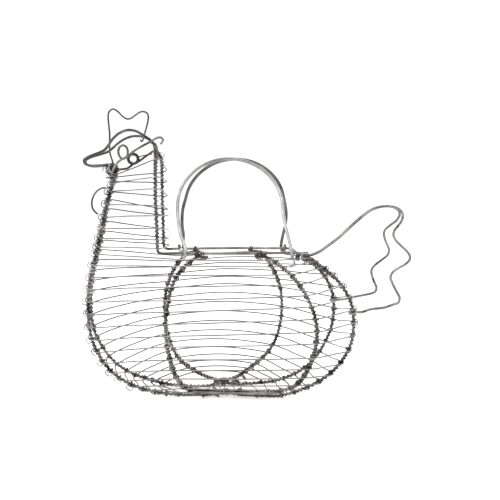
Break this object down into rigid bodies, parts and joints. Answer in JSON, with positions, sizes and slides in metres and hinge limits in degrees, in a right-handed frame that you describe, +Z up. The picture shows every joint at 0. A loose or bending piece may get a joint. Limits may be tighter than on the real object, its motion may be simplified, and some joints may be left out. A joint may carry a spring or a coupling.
{
  "type": "wire egg basket",
  "caption": "Hen-shaped open wire basket with two swinging bail handles, woven wire sides, an open mouth in the back and a wire comb and tail.",
  "frame": {"origin": "on the surface the basket stands on, below the middle of its outer box", "axes": "+Z up, +X towards the tail with the beak towards -X, the bird's left side faces -Y"},
  "size_m": [0.3092, 0.1942, 0.2739],
  "materials": {
    "frame_wire": "dull grey drawn steel wire, lightly tarnished",
    "handle_wire": "smooth, brighter grey steel wire",
    "trim_wire": "dull grey thin steel wire",
    "weave_wire": "thin grey steel wire, satin",
    "tie_wire": "thin dark annealed steel wire"
  },
  "bodies": {
    "basket": {"profile_wire_left": "frame_wire", "profile_wire_right": "frame_wire", "keel_wire_left": "frame_wire", "keel_wire_right": "frame_wire", "side_hoop_left": "frame_wire", "side_hoop_right": "frame_wire", "comb_wire": "trim_wire", "eye_wire_left": "trim_wire", "eye_wire_right": "trim_wire", "wattle_wire": "trim_wire", "neck_row_01": "weave_wire", "neck_row_02": "weave_wire", "neck_row_03": "weave_wire", "neck_row_04": "weave_wire", "neck_row_05": "weave_wire", "neck_row_06": "weave_wire", "neck_row_07": "weave_wire", "neck_row_08": "weave_wire", "body_row_01": "weave_wire", "body_row_02": "weave_wire", "body_row_03": "weave_wire", "body_row_04": "weave_wire", "body_row_05": "weave_wire", "body_row_06": "weave_wire", "body_row_07": "weave_wire", "body_row_08": "weave_wire", "body_row_09": "weave_wire", "body_row_10": "weave_wire", "body_row_11": "weave_wire", "body_row_12": "weave_wire", "body_row_13": "weave_wire", "body_row_14": "weave_wire", "body_row_15": "weave_wire", "body_row_16": "weave_wire", "body_row_17": "weave_wire", "floor_lacing": "weave_wire", "hoop_tie_left_front": "tie_wire", "hoop_tie_left_back": "tie_wire", "hoop_tie_right_front": "tie_wire", "hoop_tie_right_back": "tie_wire", "hoop_tie_left_foot": "tie_wire", "hoop_tie_right_foot": "tie_wire", "throat_tie": "tie_wire", "tail_root_tie": "tie_wire"},
    "left_bail": {"handle_left": "handle_wire"},
    "right_bail": {"handle_right": "handle_wire"}
  },
  "joints": [
    {"name": "left_bail_hinge", "type": "hinge", "parent": "basket", "child": "left_bail", "pos_m": [-0.0095, -0.03614, 0.138], "axis": [1, 0, 0], "range_deg": [0, 108]},
    {"name": "right_bail_hinge", "type": "hinge", "parent": "basket", "child": "right_bail", "pos_m": [-0.0111, 0.03586, 0.138], "axis": [-1, 0, 0], "range_deg": [0, 108]}
  ]
}
